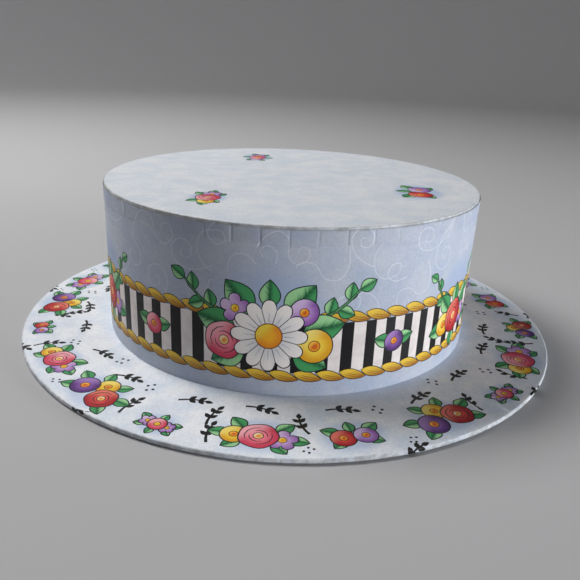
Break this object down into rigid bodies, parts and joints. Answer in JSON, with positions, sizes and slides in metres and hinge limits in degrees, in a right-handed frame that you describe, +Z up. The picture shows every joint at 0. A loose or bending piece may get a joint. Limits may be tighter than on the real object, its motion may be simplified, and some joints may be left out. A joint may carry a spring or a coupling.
{
  "type": "hat box",
  "caption": "Round paper-covered storage box in the shape of a brimmed hat: the brim and an inner collar are the base and the crown is a lift-off lid.",
  "frame": {"origin": "middle of the underside, on the surface that the box stands on", "axes": "+Z up through the crown, +X to the right and -Y towards the front of the print"},
  "size_m": [0.35, 0.35, 0.0971],
  "materials": {
    "greyboard": "matt grey-brown chipboard",
    "kraft_tape": "gummed kraft paper",
    "white_paper": "plain uncoated",
    "underside_paper": "plain uncoated",
    "brim_print": "satin, printed with small flowers on pale blue",
    "top_print": "satin, printed with small flowers on pale blue",
    "side_print": "satin, printed with flowers, a striped ribbon and rope borders"
  },
  "bodies": {
    "base": {"underside_paper": "underside_paper", "brim_board": "greyboard", "brim_paper": "brim_print", "floor_board": "greyboard", "collar_board": "greyboard", "collar_seam_tape": "kraft_tape", "collar_wrap": "white_paper", "collar_lining": "white_paper", "floor_lining": "white_paper"},
    "lid": {"crown_side_board": "greyboard", "crown_seam_tape": "kraft_tape", "crown_top_board": "greyboard", "crown_top_paper": "top_print", "crown_side_paper": "side_print", "crown_side_lining": "white_paper", "crown_top_lining": "white_paper"}
  },
  "joints": [
    {"name": "lid_lift", "type": "slide", "parent": "base", "child": "lid", "axis": [0, 0, 1], "range_m": [0, 0.2]}
  ]
}
